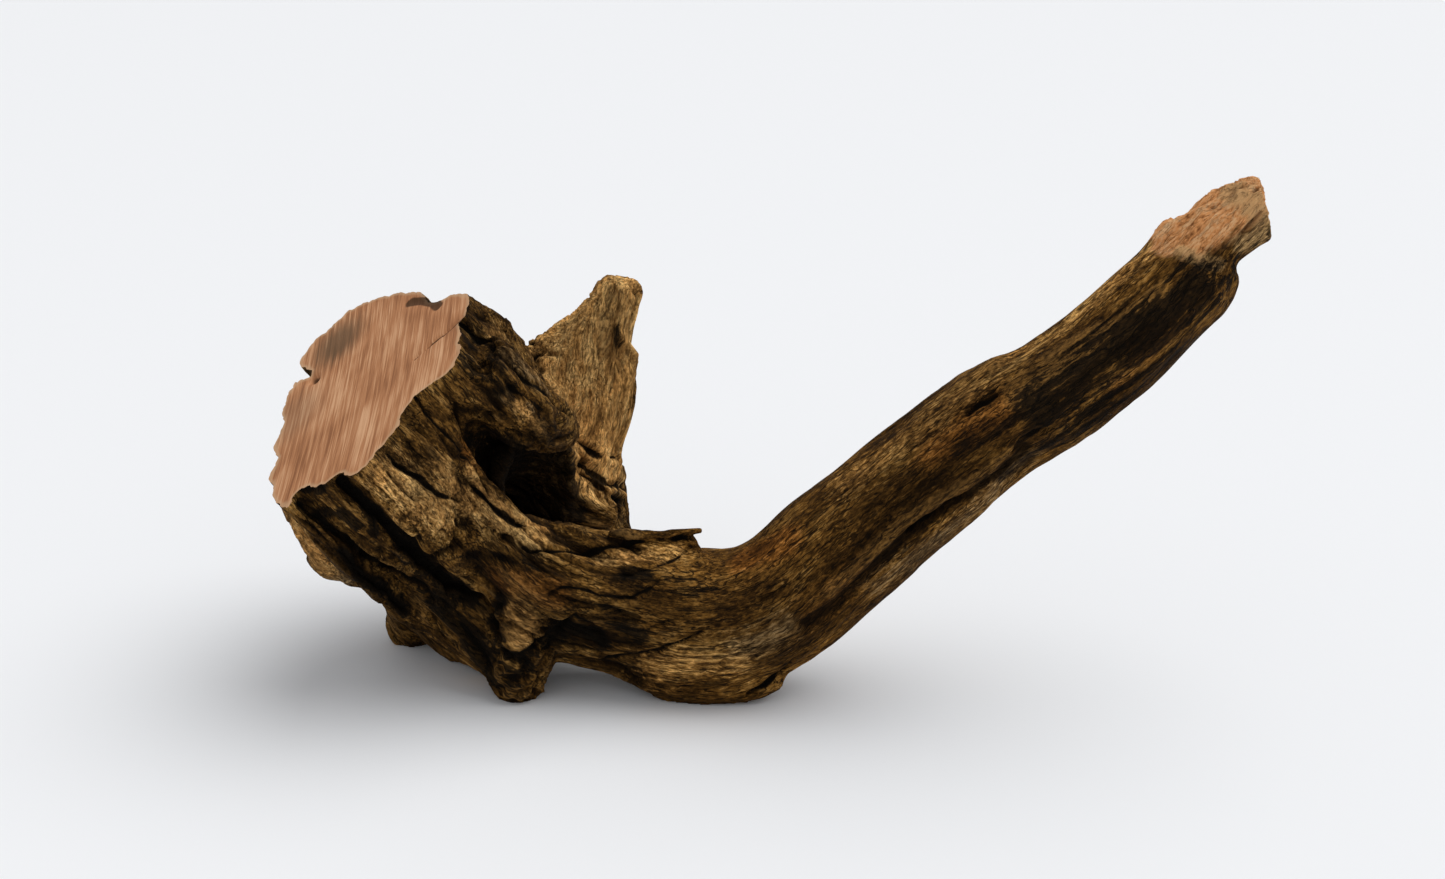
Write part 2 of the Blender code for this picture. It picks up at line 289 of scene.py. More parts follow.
# %% [markdown]
# ## Ridges and cracks
# The sea and the sun take the soft wood away and leave the hard, so old driftwood is
# covered in long low ridges, with fine grooves between them. Folding a noise at zero
# gives just that form, sharp crests with round hollows, and stretching it along the
# grain makes ridges of it. A displacement map would need a much finer mesh and is lost
# when the model is exported, so the points themselves are moved. Each row gives the
# height, the length and the width of one size of ridge or groove. The stump is the
# roughest part, and the arm is worn smooth. Near the saw cut the ridges are low, and a
# fine noise gives the rim its small teeth.

# %% Raise the ridges
CREST, FOLD = 0.5, 2.2
RIDGES = ((1.15, 95, 8.0), (0.70, 60, 3.6), (0.34, 26, 1.8))
GROOVES = ((1.9, 80, 6.5, 0.085), (1.2, 46, 3.6, 0.13))
GROOVE_PATCH = (40, 12)
ARM_STARTS, ARM_SETTLES = 95, 150
ARM_RIDGES = 0.26
SAW_RIDGES, SAW_NEAR = 0.3, (-9, -2)
TEETH, TOOTH_SIZE = 0.4, 1.6


def noise_of(places, along, across):
    """Smooth noise, stretched along the grain."""
    scaled = places / np.array((along, across, across))
    return np.array([noise.noise(Vector(place)) for place in scaled])


def ease(values, low, high):
    """0 below low, 1 above high, and a smooth step between."""
    share = np.clip((values - low) / (high - low), 0, 1)
    return share * share * (3 - 2 * share)


def arm_share(grain, places):
    """0 on the stump and the root, rising to 1 along the arm."""
    return ease(grain[:, 0] * (places[:, 0] > 0), ARM_STARTS, ARM_SETTLES)


def above_saw_plane(places):
    """How far bench places lie outside the plane of the saw cut."""
    return (places - np.array(SAW_CENTRE)) @ np.array(SAW_NORMAL)


worn = 1 - (1 - ARM_RIDGES) * arm_share(grain, smooth_places)
relief = np.zeros(len(grain))
for number, (height, along, across) in enumerate(RIDGES):
    relief += height * (CREST - FOLD * np.abs(noise_of(grain + 31 * number, along, across)))
for number, (depth, along, across, width) in enumerate(GROOVES):
    line = np.abs(noise_of(grain + 57 + 19 * number, along, across))
    patch = ease(noise_of(grain + 83 + 11 * number, *GROOVE_PATCH), -0.15, 0.25)
    relief -= depth * patch * np.exp(-(line / width) ** 2)
near_saw = ease(above_saw_plane(smooth_places), *SAW_NEAR)
relief *= worn * (1 - (1 - SAW_RIDGES) * near_saw)
relief += near_saw * TEETH * noise_of(smooth_places, TOOTH_SIZE, TOOTH_SIZE)
print("ridges from", relief.min().round(2), "to", relief.max().round(2), "mm")

# %% [markdown]
# The large cracks and folds aren't chance: each one has its place. They are drawn as
# lines on the surface, and a point sinks by how near it is to a line. Each row gives
# the depth, the half width, how black the crack is inside, and its points. That black
# is partly dirt and partly painted shade, the darkness that falls into a deep crack.
# Swellings, such as the lip of the hollow, are drawn the same way, and their rows give
# the height, the half width and the points. Straight stretches would look ruled, so a
# vector noise makes them waver. That noise starts from the clock unless it gets a seed,
# and here it gets one, so that every run draws the same wood.

# %% Draw the cracks
CRACKS = {
    "trunk split": (1.9, 0.8, 1.0, [(-74.2, -22.7, 89.7), (-71, -22.4, 87), (-66.1, -19.5, 80),
        (-62.1, -17.5, 76.7), (-59.3, -16.5, 72.8), (-55.5, -14.7, 70.5), (-52.4, -11.9, 67.8)]),
    "hollow side": (1.6, 0.8, 0.9, [(-64, -10.7, 99.7), (-60.6, -11.8, 95.4), (-53.1, -9.9, 84.8),
        (-50.2, -6.8, 79.6), (-47.6, -5.1, 74), (-42.7, -6.6, 66.6)]),
    "hollow rim": (2.2, 1.1, 1.0, [(-50.1, -8.7, 73.9), (-47.5, -7.8, 69.7), (-43.2, -8.4, 64.8),
        (-39.4, -8.8, 61.4), (-35.9, -8, 59.5), (-32.9, -5, 58.6)]),
    "stump band": (2.2, 1.5, 1.0, [(-86.4, -20.2, 78.3), (-80.9, -17.5, 71), (-76.2, -15.6, 65.5),
        (-72.4, -14.2, 58.6), (-68.5, -12.3, 53.5), (-61, -6.1, 42), (-53, -4, 34.7)]),
    "stump split": (2.0, 0.9, 1.0, [(-98.5, -17.8, 70.5), (-95.2, -16.2, 65.7),
        (-91.5, -14.5, 60.9), (-87.6, -12.6, 57.6), (-81.3, -9, 48.9), (-77.3, -7.2, 45.1),
        (-72.8, -8.1, 41.9), (-65.4, -7.8, 37.8), (-64, -5.2, 32.6)]),
    "stump low": (1.8, 1.2, 0.9, [(-88.2, -15.4, 53.2), (-85.1, -13.2, 49.3), (-82.6, -12.3, 43.1),
        (-77.6, -7.4, 38.2), (-72.7, -5.2, 29.9)]),
    "saw chip": (1.3, 1.1, 0.9, [(-97.2, -18.3, 74.5), (-91, -23.7, 77.2)]),
    "band branch": (1.2, 0.9, 0.9, [(-80.1, -17.7, 69.5), (-77.5, -17.3, 64.6),
        (-78.8, -16.3, 59.4)]),
    "root upper": (2.0, 0.8, 1.0, [(-41.2, -10, 55.8), (-32.8, -11.3, 52.5), (-24.1, -8.6, 51.3),
        (-19.7, -7.2, 50.4), (-12.3, -6.1, 50.2), (-1.8, -2.2, 51.5), (10.2, -1.1, 51.8),
        (19, -0.5, 52.1)]),
    "root middle": (1.2, 0.8, 0.9, [(-27.4, -16.6, 39.8), (-23.8, -16, 41.5), (-17.9, -15.8, 42),
        (-12, -15.5, 39.9), (-3.1, -14.8, 38.3), (1.5, -13.9, 39.9), (5.9, -12.3, 43.1)]),
    "root top": (1.2, 0.8, 0.8, [(-4.6, -11.5, 44.7), (3.5, -10.1, 46), (7.3, -7.1, 47.1),
        (16.3, -2.2, 49.8)]),
    "belly arch": (1.6, 1.3, 0.8, [(-27.2, -10.5, 22.4), (-24.5, -11.9, 28), (-19.7, -15.1, 31.9),
        (-15.3, -13.9, 29.3), (-11.8, -13.8, 24)]),
    "belly split": (1.5, 0.8, 0.9, [(-18.2, -9.7, 16.9), (-12.9, -9.3, 14.7), (-3.4, -14.5, 18.9),
        (5.9, -18.1, 22.3), (12.5, -19.5, 26.4), (18.6, -19.6, 29.7)]),
    "belly edge": (2.2, 0.9, 1.0, [(32.5, -14.4, 6), (37.7, -13.2, 8.8), (42.3, -12.5, 12.2),
        (46.7, -16.2, 18.1)]),
    "belly short": (0.9, 0.8, 0.8, [(4.5, -17.6, 29.8), (8.3, -17.9, 31.9), (13.5, -18.1, 34.2)]),
    "belly long": (1.0, 0.8, 0.7, [(19.4, -16.4, 13.5), (25.5, -19.8, 20.2), (31.4, -21.1, 24.8),
        (37.4, -20.7, 28.6)]),
    "elbow": (0.9, 0.8, 0.7, [(35.8, -17.8, 39.1), (41.8, -17.9, 42.4), (47.7, -17.9, 46.2)]),
    "crown crease": (1.6, 1.8, 0.5, [(-50.7, -12.5, 51.4), (-41.8, -12.2, 50.3),
        (-32.8, -13.3, 49.4), (-29.8, -14.4, 46.6)]),
    "lump edge": (2.2, 1.2, 1.0, [(-42.7, -14.9, 20.5), (-36.5, -15.9, 20.3), (-32, -14.3, 22.5),
        (-28.3, -11.6, 24.5)]),
    "foot cleft": (2.0, 1.4, 0.9, [(-61.3, -6.5, 33.9), (-55.7, -5.5, 25), (-49.5, -8.7, 18.1),
        (-46.4, -11, 12.5)]),
    "foot side": (1.5, 1.2, 0.8, [(-42.4, -11.5, 36.1), (-44.7, -7.1, 27.4),
        (-42.6, -13.5, 23.8)]),
    "plank": (1.8, 1.0, 0.9, [(-53, 11, 116), (-48, 13, 111), (-41, 2, 109), (-35.5, 4, 103),
        (-29, 10, 95), (-22, 21, 84)]),
    "plank edge": (1.4, 0.9, 0.9, [(-52, 1, 113), (-45.5, 1, 106), (-38, 0, 100), (-30, 7, 91),
        (-25, 14, 83.5)]),
    "arm slit": (2.0, 0.9, 1.0, [(80.6, -16.9, 60.3), (88.8, -15.7, 66.2), (96.7, -14.3, 70.7)]),
    "arm crease": (2.2, 2.4, 0.25, [(50, -19, 32), (59.7, -18.4, 38.7), (69.9, -17.9, 49.4),
        (80.6, -16.9, 60.3), (88.8, -15.7, 66.2), (96.7, -14.3, 70.7), (106.3, -13, 78.1),
        (113.4, -11.5, 84.5)]),
    "arm dent": (1.4, 4.0, 0.0, [(108, -9, 74), (116, -8, 79)]),
    "arm step": (1.3, 0.8, 0.9, [(109.5, -12.5, 84.1), (112.2, -12.5, 87.8), (116, -12.1, 90.5),
        (121.1, -10.9, 90.4)]),
    "knot": (2.2, 1.0, 1.0, [(96.6, -8.3, 94.8), (100.1, -7.7, 98), (104.7, -7.6, 100.5)]),
    "gill upper": (2.0, 1.3, 0.9, [(-21.6, 41.1, 68.3), (-16.4, 43.3, 62.5), (-9.9, 51, 58.2)]),
    "gill middle": (3.0, 1.5, 1.0, [(-21.2, 40.4, 61.1), (-18, 41.6, 57.8), (-14, 42.8, 53.9),
        (-9.4, 46, 50.7), (-7, 57.7, 45.8)]),
    "gill lower": (2.8, 1.5, 1.0, [(-19.6, 39.5, 56.9), (-14.9, 41.5, 51.7), (-10.5, 46, 46.4),
        (-7, 55.2, 41)]),
    "spur crease": (2.2, 2.2, 0.5, [(-10.7, 56.7, 112.2), (-9.8, 55.4, 108.6),
        (-11.7, 54.6, 105.1), (-12.8, 53.6, 98), (-13.2, 53.2, 94.1)]),
    "spur pit": (1.6, 1.5, 0.6, [(-8.8, 53.7, 101.4), (-8.6, 53.6, 96.4), (-7.8, 54.4, 90.4)]),
    "tip groove": (1.0, 0.8, 0.82, [(165.5, 6, 153), (170, 6, 156), (174.4, 7, 159.4)]),
    "tip crack": (1.2, 0.8, 0.66, [(174, 0, 146), (176.5, 0.5, 150), (180, 1, 153)]),
}
SWELLINGS = {
    "arm crest": (1.5, 2.4, [(56.6, -19.7, 42.5), (67.4, -19, 53.6), (78.4, -17.2, 64.3),
        (90.1, -15.8, 71.4), (102.4, -13.8, 78.5), (109, -12.3, 84.2)]),
    "hollow lip": (1.0, 1.6, [(-50.1, -8, 76.8), (-46.2, -6.6, 69.9), (-41.7, -7.6, 64.9),
        (-36, -6.7, 60.9), (-28.9, -2.9, 56.4)]),
    "gill lip": (1.1, 1.0, [(-23.6, 31.6, 67.8), (-18.9, 40.8, 58.9), (-14.9, 41.6, 54.8),
        (-10.2, 44.3, 52)]),
    "gill fold": (1.4, 1.3, [(-17, 40.5, 55.2), (-12, 44, 49.5), (-8, 55, 43.5)]),
    "spur fin": (1.5, 1.7, [(-7.6, 54.4, 98.8), (-4.6, 56.6, 93), (-3.2, 60.7, 88)]),
    "crown lump": (1.3, 5.0, [(-39.3, -13.5, 33.7), (-34, -14.3, 30.8), (-36.4, -15.2, 25.6)]),
    "arm bump": (1.3, 4.5, [(128, -4, 87), (134, -3, 91)]),
    "arm hump": (1.6, 5.0, [(98, 8, 101), (105, 5, 105)]),
    "arm flank": (1.4, 6.0, [(112, -9, 99), (134, -6, 116), (150, -5, 128)]),
    "plank ledge": (0.9, 2.0, [(-39.6, -1.4, 98), (-35.6, 1.3, 94), (-30.5, 7.7, 85)]),
}
print(len(CRACKS), "cracks and folds,", len(SWELLINGS), "swellings")

# %% Sink the cracks
WANDER = 0.8
WANDER_SIZE = 5
WANDER_SEED = 1
noise.seed_set(WANDER_SEED)


def wander(places):
    """The same places, each pushed a little, so that a drawn line wavers."""
    return places + WANDER * np.array([noise.noise_vector(Vector(place) / WANDER_SIZE)
                                       for place in places])


def distance_to(points, line):
    """How far each point is from a line of straight stretches."""
    nearest = np.full(len(points), 1e9)
    for start, end in zip(line, line[1:]):
        start, stretch = np.array(start), np.array(end) - np.array(start)
        share = np.clip((points - start) @ stretch / (stretch @ stretch), 0, 1)
        offset = points - start - share[:, None] * stretch
        nearest = np.minimum(nearest, np.linalg.norm(offset, axis=1))
    return nearest


wavy_places = wander(smooth_places)
for height, half_width, line in SWELLINGS.values():
    relief += height * np.exp(-(distance_to(wavy_places, line) / half_width) ** 2)
for depth, half_width, blackness, line in CRACKS.values():
    relief -= depth * np.exp(-(distance_to(wavy_places, line) / half_width) ** 2)
print("deepest point", relief.min().round(2), "mm")

# %% [markdown]
# The arm ends where it was torn off. Torn wood splits into long fibres that stand
# apart, so near the break the surface gets narrow, deep folds. The foot under the stump
# is a knot of old root, lumpy in every direction, so its noise isn't stretched at all.

# %% Fray the break and lump the foot
BREAK_LINE = [(160, 8, 146), (170, 8, 153), (183, 10, 158)]
BREAK_REACH = 13
FIBRE_HEIGHT = 0.9
FOOT = [(-38, -15.5, 14), (-36, -12, 6)]
FOOT_REACH = 11
LUMP_HEIGHT, LUMP_SIZE = 1.7, 4.5
frayed = 1 - ease(distance_to(smooth_places, BREAK_LINE), BREAK_REACH - 5, BREAK_REACH)
for shift, along, across in ((7, 30, 1.9), (91, 16, 4.5)):
    fold = CREST - FOLD * np.abs(noise_of(grain + shift, along, across))
    relief += frayed * FIBRE_HEIGHT * fold
lumpy = 1 - ease(distance_to(smooth_places, FOOT), FOOT_REACH - 6, FOOT_REACH)
lumps = CREST - FOLD * np.abs(noise_of(smooth_places, LUMP_SIZE, LUMP_SIZE))
relief += lumpy * LUMP_HEIGHT * lumps
print((frayed > 0.5).sum(), "frayed points,", (lumpy > 0.5).sum(), "lumpy points")

# %% [markdown]
# The wood rests on four small flats. Points there stay on the table, and no point may
# leave the CAD model's box, so the moved points are held to it, all but those at the
# spare end, which the saw takes off.

# %% Move the points
FLAT_RANGE = 0.5
resting = smooth_places[:, 2] - BENCH_CORNER.z < FLAT_RANGE
moved = smooth_places + outwards * relief[:, None]
moved[resting] = smooth_places[resting]
moved[resting, 2] = BENCH_CORNER.z
low, high = (bench(np.array(corner)) for corner in cad_box)
at_spare_end = above_saw_plane(moved) > -1
moved = np.where(at_spare_end[:, None], moved, np.clip(moved, low, high))
wood.data.vertices.foreach_set("co", model(moved).astype(np.float32).ravel())
wood.data.update()
print(resting.sum(), "points rest on the table")

# %% [markdown]
# ## The saw cut
# The sawn face is flat but not smooth: the saw left fine curved marks, a crack runs in
# from the rim, and a few chips broke out. A plane cut with bisect would leave one big
# flat face with nowhere to put these. A block whose underside already has the marks is
# subtracted from the wood instead, so its underside becomes the face. Its own faces
# carry the second finish, so the cut brings its material along.

# %% Shape the saw block
SAW_LENGTH, SAW_WIDTH = 124, 160
SAW_SQUARE = 0.8
SAW_BLOCK = 12
MARK_LINE = (0.829, -0.559)
MARK_WIDTH, MARK_LENGTH, MARK_BEND, MARK_DEPTH = 1.3, 45, 38, 0.09
FACE_CRACKS = {
    "rim crack": (1.1, 0.6, [(-52.5, 12, 118), (-58.1, 10.0, 113.6), (-62.7, 9.3, 110.2),
        (-67, 8, 106)]),
    "chip": (0.7, 2.0, [(-72.9, 39.3, 114.9), (-67.7, 35.0, 116.8), (-62.3, 27.1, 117.4)]),
    "notch": (3.0, 1.6, [(-106, 35, 92), (-103, 33, 92)]),
}


def face_place(points):
    """Bench places as distances up and back along the sawn face."""
    offset = points - np.array(SAW_CENTRE)
    return offset @ np.array(SAW_UP), offset @ np.array(SAW_BACK)


cutter = bmesh.new()
bmesh.ops.create_grid(cutter, x_segments=round(SAW_LENGTH / SAW_SQUARE),
                      y_segments=round(SAW_WIDTH / SAW_SQUARE), size=0.5)
for vertex in cutter.verts:
    vertex.co = at_saw(vertex.co.x * SAW_LENGTH, vertex.co.y * SAW_WIDTH, 0)
face_points = np.array([vertex.co for vertex in cutter.verts])
up, back = face_place(face_points)
across = up * MARK_LINE[0] + back * MARK_LINE[1]
down = back * MARK_LINE[0] - up * MARK_LINE[1]
marks = np.array([noise.noise(Vector((a / MARK_WIDTH + (d / MARK_BEND) ** 2, d / MARK_LENGTH, 0)))
                  for a, d in zip(across, down)])
face_depth = MARK_DEPTH * marks
for depth, half_width, line in FACE_CRACKS.values():
    face_depth += depth * np.exp(-(distance_to(wander(face_points), line) / half_width) ** 2)
print("face depth up to", face_depth.max().round(2), "mm")

# %% Saw the end off
for vertex, depth in zip(cutter.verts, face_depth.tolist()):
    vertex.co = (vertex.co - depth * SAW_NORMAL - BENCH_CORNER) * MM
top = bmesh.ops.extrude_face_region(cutter, geom=cutter.faces[:], use_keep_orig=True)["geom"]
bmesh.ops.translate(cutter, verts=[v for v in top if isinstance(v, bmesh.types.BMVert)],
                    vec=SAW_BLOCK * MM * SAW_NORMAL)
bmesh.ops.recalc_face_normals(cutter, faces=cutter.faces)
for face in cutter.faces:
    face.material_index = 1
saw_block = bpy.data.objects.new("saw_block", bpy.data.meshes.new("saw_block"))
cutter.to_mesh(saw_block.data)
cutter.free()
scene.collection.objects.link(saw_block)
weathered = bpy.data.materials.new("weathered_wood")
sawn_wood = bpy.data.materials.new("sawn_wood")
for piece in (wood, saw_block):
    piece.data.materials.append(weathered)
    piece.data.materials.append(sawn_wood)
cut = wood.modifiers.new("saw", "BOOLEAN")
cut.operation, cut.solver, cut.object = "DIFFERENCE", "MANIFOLD", saw_block
cut.material_mode = "INDEX"
apply_modifiers(wood)
bpy.data.objects.remove(saw_block)
print(len(wood.data.vertices), "points after the cut")

# %% [markdown]
# The mesh is now finer than it needs to be where the wood is smooth. A decimate
# modifier joins the smallest triangles first, so the ridges keep theirs. Loose crumbs
# that the carving left are dropped. Where the thinning left an edge with more than two
# triangles, they are cut out and the hole is filled, so that the skin stays closed. Then
# the points are held to the box once more, because joining triangles can push one out.

# %% Thin the mesh and drop crumbs
MOST_TRIANGLES = 196_000
MAIN_SHARE = 0.5
triangles = sum(len(face.vertices) - 2 for face in wood.data.polygons)
thin = wood.modifiers.new("thin", "DECIMATE")
thin.ratio = min(1, MOST_TRIANGLES / triangles)
apply_modifiers(wood)
body = bmesh.new()
body.from_mesh(wood.data)
bmesh.ops.triangulate(body, faces=body.faces)
loose = set(body.verts)
while loose:
    island, edge_of_search = set(), [next(iter(loose))]
    while edge_of_search:
        vertex = edge_of_search.pop()
        if vertex in loose:
            loose.discard(vertex)
            island.add(vertex)
            edge_of_search += [edge.other_vert(vertex) for edge in vertex.link_edges]
    if len(island) < MAIN_SHARE * len(body.verts):
        bmesh.ops.delete(body, geom=list(island), context="VERTS")
print(triangles, "triangles before and", len(body.faces), "after the thinning")

# %% Close the skin and hold it to the box
crowded = {face for edge in body.edges if not edge.is_manifold for face in edge.link_faces}
bmesh.ops.delete(body, geom=list(crowded), context="FACES")
bmesh.ops.holes_fill(body, edges=[edge for edge in body.edges if edge.is_boundary], sides=0)
bmesh.ops.triangulate(body, faces=body.faces)
bmesh.ops.recalc_face_normals(body, faces=body.faces)
for vertex in body.verts:
    vertex.co = [min(max(value, least), most)
                 for value, least, most in zip(vertex.co, *cad_box)]
for edge in body.edges:
    edge.smooth = len({face.material_index for face in edge.link_faces}) == 1
for face in body.faces:
    face.smooth = True
body.to_mesh(wood.data)
open_edges = sum(not edge.is_manifold for edge in body.edges)
body.free()
print(len(wood.data.polygons), "triangles with", open_edges, "open edges")

# %% [markdown]
# ## What the finishes need to know
# The colours of driftwood depend on where you look: the cracks are black, with dirt and
# painted shade, the crown of the root glows orange, rubbed edges are pale. The finishes
# read this from the points: each point stores its grain place, its relief, and one number
# for each kind of patch.
# The cracks and patches were drawn on the smooth wood, so each point first goes back to
# where it was before the carving, or the floor of a deep crack would miss its own line.
# A crack is stored thinner towards its two ends.

# %% Carry the grain and relief over
places = bench(read_points(wood.data))
finder = kdtree.KDTree(len(moved))
for number, place in enumerate(moved):
    finder.insert(place, number)
finder.balance()
source = np.array([finder.find(place)[1] for place in places])


def store(name, values):
    """Keeps one number, or one vector, for each point of the wood."""
    kind = "FLOAT" if values.ndim == 1 else "FLOAT_VECTOR"
    data = wood.data.attributes.new(name, kind, "POINT").data
    data.foreach_set("value" if values.ndim == 1 else "vector",
                     values.astype(np.float32).ravel())


store("grain", grain[source])
store("relief", relief[source])
print("stored grain and relief of", len(source), "points")

# %% Draw the patches
PATCHES = {
    # Black is dark stain; where it fills the hollow and follows the deep cracks of the stump it is
    # also painted shade.
    "black": [
        (5.0, 0.62, [(-60, -4, 108), (-54.7, -6, 109.7), (-46.6, -3.1, 103.9),
            (-38.2, -0.5, 98.7)]),
        (4.0, 0.62, [(-58, 10, 113), (-50.1, 4.7, 111.6), (-40.7, -1.4, 107.3)]),
        (10.0, 1.8, [(-36.5, 24.9, 70), (-33, 34.5, 57.1), (-30.8, 35.8, 46.3)]),
        (8.0, 1.7, [(-43, 10, 78), (-43, 14, 68.9), (-42.2, 38.2, 50.6)]),
        (7.0, 1.5, [(-33, 26, 66), (-28, 32, 60)]),
        (5.0, 1.0, [(-68.5, -12.3, 53.5), (-61, -6.1, 42), (-53, -4, 34.7)]),
        (2.6, 0.9, [(-86.4, -20.2, 78.3), (-80.9, -17.5, 71), (-76.2, -15.6, 65.5),
            (-68.5, -12.3, 53.5)]),
        (3.2, 1.0, [(-92.3, -15.8, 66.5), (-87.3, -19.1, 66.9), (-84, -17.7, 63.2)]),
        (2.4, 0.9, [(-80.1, -17.7, 69.5), (-77.5, -17.3, 64.6), (-78.8, -16.3, 59.4)]),
        (2.4, 0.9, [(-97.2, -18.3, 74.5), (-91, -23.7, 77.2)]),
        (3.2, 0.9, [(-88.2, -15.4, 53.2), (-82.6, -12.3, 43.1), (-77.6, -7.4, 38.2),
            (-72.7, -5.2, 29.9)]),
        (2.8, 0.72, [(-4.6, -11.5, 44.7), (2.4, -11.2, 44.5)]),
        (4.5, 0.58, [(-10.6, -15.6, 34.1), (-6.1, -15.5, 29.7), (-0.1, -16.6, 26.2)]),
        (4.5, 0.85, [(-27.2, -10.5, 22.4), (-24.5, -11.9, 26), (-17, -12.5, 26),
            (-11.8, -13.8, 22)]),
        (3.0, 0.8, [(-42.7, -14.9, 20.5), (-36.5, -15.9, 19), (-32, -14.3, 21)]),
        (6.5, 0.8, [(-61.3, -6.5, 33.9), (-55.7, -5.5, 25), (-49.5, -8.7, 18.1),
            (-46.4, -11, 10)]),
        (3.5, 0.8, [(-42.4, -11.5, 36.1), (-44.7, -7.1, 27.4), (-42.6, -13.5, 23.8)]),
        (4.0, 0.5, [(-50.7, -12.5, 51.4), (-41.8, -12.2, 50.3), (-32.8, -13.3, 49.4)]),
        (7.0, 0.5, [(94.2, -12.7, 84.9), (102.7, -12.4, 90.9), (108.5, -11.8, 93.9)]),
        (11.0, 0.80, [(117, -10, 97), (129, -9, 106), (140, -8, 115), (151, -6, 123),
            (162, -4, 132)]),
        (4.5, 0.6, [(164, -6, 127), (171, -2, 133), (176, 2, 138)]),
        (7.0, 0.52, [(-44.4, -12.7, 20.1), (-40, -14.1, 10.6), (-33.8, -14.8, 14.4)]),
        (9.0, 0.55, [(122, -8, 86), (140, -6, 100), (155, -5, 113)]),
        (7.0, 0.46, [(0, -11, 44), (12, -12, 42), (20, -14, 40)]),
        (3.0, 0.6, [(-8.8, 53.7, 101.4), (-8.6, 53.6, 96.4)]),
    ],
    "warm": [
        (6.0, 0.75, [(-42, -13.5, 43.6), (-32.8, -15.4, 42.9), (-26, -16.7, 39.5)]),
        (5.5, 1.0, [(31.5, -7.4, 47.5), (37.5, -9.1, 50.9), (43.4, -10.3, 55.2)]),
        (6.0, 0.55, [(140, -6, 104), (158, -4, 124)]),
        (7.0, 0.7, [(85.7, -10.8, 84.2), (94.2, -11, 90.4), (105.6, -10.9, 96.6)]),
        (5.0, 0.8, [(-51, -5, 82), (-49, 2, 75), (-47.6, 10, 69)]),
        (7.0, 1.0, [(-12, 58, 114), (-6, 60, 118)]),
        (6.0, 0.6, [(-12, 50, 58), (-10, 48, 44)]),
        (9.0, 0.4, [(52, -19, 36), (66, -18, 48)]),
    ],
    "pale": [
        (6.5, 1.2, [(-102.2, -6.5, 56.9), (-100.5, -2.9, 48.8), (-96.6, -1.4, 43.2),
            (-92.8, 1.6, 38.6)]),
        (4.0, 1.1, [(171.7, 6.9, 157.8), (176.3, 1.7, 156.1), (180.1, 0.5, 149.1)]),
        (3.6, 1.2, [(175.7, 0.4, 143.2), (181.5, 1.4, 145.8)]),
        (2.6, 1.0, [(157, 0, 142), (161, -2, 140), (168, -2.5, 138)]),
        (1.8, 1.0, [(-52, -3.5, 103), (-42, -1, 97.5), (-33, 6, 91)]),
        (3.0, 0.45, [(-41.2, 3.1, 110.5), (-33, 8.4, 102), (-28, 14, 94)]),
        (6.0, 0.5, [(71.6, -16.1, 42), (86.5, -12.1, 54.4), (102.5, -10.8, 68.3),
            (116, -9.1, 80)]),
        (5.5, 0.65, [(29.9, -21.1, 24.2), (37.4, -20.9, 27.4), (43.3, -20.5, 32.1)]),
    ],
    # Tan is paler wood; on the spur and along the top edge of the arm it is also painted light,
    # brighter where the real piece is lit.
    "tan": [
        (20.0, 1.25, [(-20, 50, 66), (-22, 52, 78), (-12, 56, 105)]),
        (5.0, 0.8, [(-12, 50, 62), (-7, 54, 48)]),
        (7.0, 1.0, [(-102.5, -7, 58), (-101.5, -5, 54), (-96.6, -1.4, 43.2)]),
        (4.5, 0.62, [(-58, -14.6, 79.3), (-54.2, -12.6, 72.3), (-47.6, -9.3, 63.9),
            (-38.8, -9.8, 58.3), (-30.1, -8.2, 54.4)]),
        (8.0, 0.6, [(-72, -24, 82), (-68.4, -23.1, 79.4), (-63.5, -19.9, 71.9),
            (-58.3, -16.8, 66)]),
        (2.6, 0.75, [(-50.1, -8, 76.8), (-46.2, -6.6, 69.9), (-41.7, -7.6, 64.9),
            (-36, -6.7, 60.9), (-28.9, -2.9, 56.4)]),
        (1.6, 0.55, [(-39.6, -1.4, 98), (-35.6, 1.3, 94), (-30.5, 7.7, 84)]),
        (3.0, 0.5, [(-12.1, -8.7, 48.1), (-0.2, -6.1, 48.2), (11.8, -3.8, 48.6)]),
        (7.0, 0.40, [(60, -6, 72), (77, -5, 85), (94.5, -3, 99), (118.6, 4.4, 113.3),
            (135.9, 6.8, 127.9), (150.2, 9.2, 140.9)]),
        (5.0, 0.5, [(-39.3, -13.5, 33.7), (-34, -14.3, 30.8), (-36.4, -15.2, 25.6)]),
        (8.0, 0.42, [(2, -16, 14), (16, -19, 18), (28, -19, 20)]),
        (5.0, 0.7, [(-43, 18, 112), (-36, 14, 102), (-26, 30, 96)]),
    ],
}
print({kind: len(lines) for kind, lines in PATCHES.items()}, "patches")

# %% Store the patches
uncarved = places - outwards[source] * relief[source, None]
wavy = wander(uncarved)
for kind, lines in PATCHES.items():
    amount = np.zeros(len(places))
    for reach, strength, line in lines:
        here = strength * np.exp(-(distance_to(wavy, line) / reach) ** 2)
        amount = np.maximum(amount, here)
    store(kind, amount)
store("arm", arm_share(grain[source], uncarved))
EDGE_WANDER = 2.2
from_break = distance_to(wavy, BREAK_LINE) + EDGE_WANDER * noise_of(grain[source], 9, 1.6)
store("fresh", 1 - ease(from_break, BREAK_REACH - 3.5, BREAK_REACH - 1.0))
print("stored the patches, the arm and the fresh break")

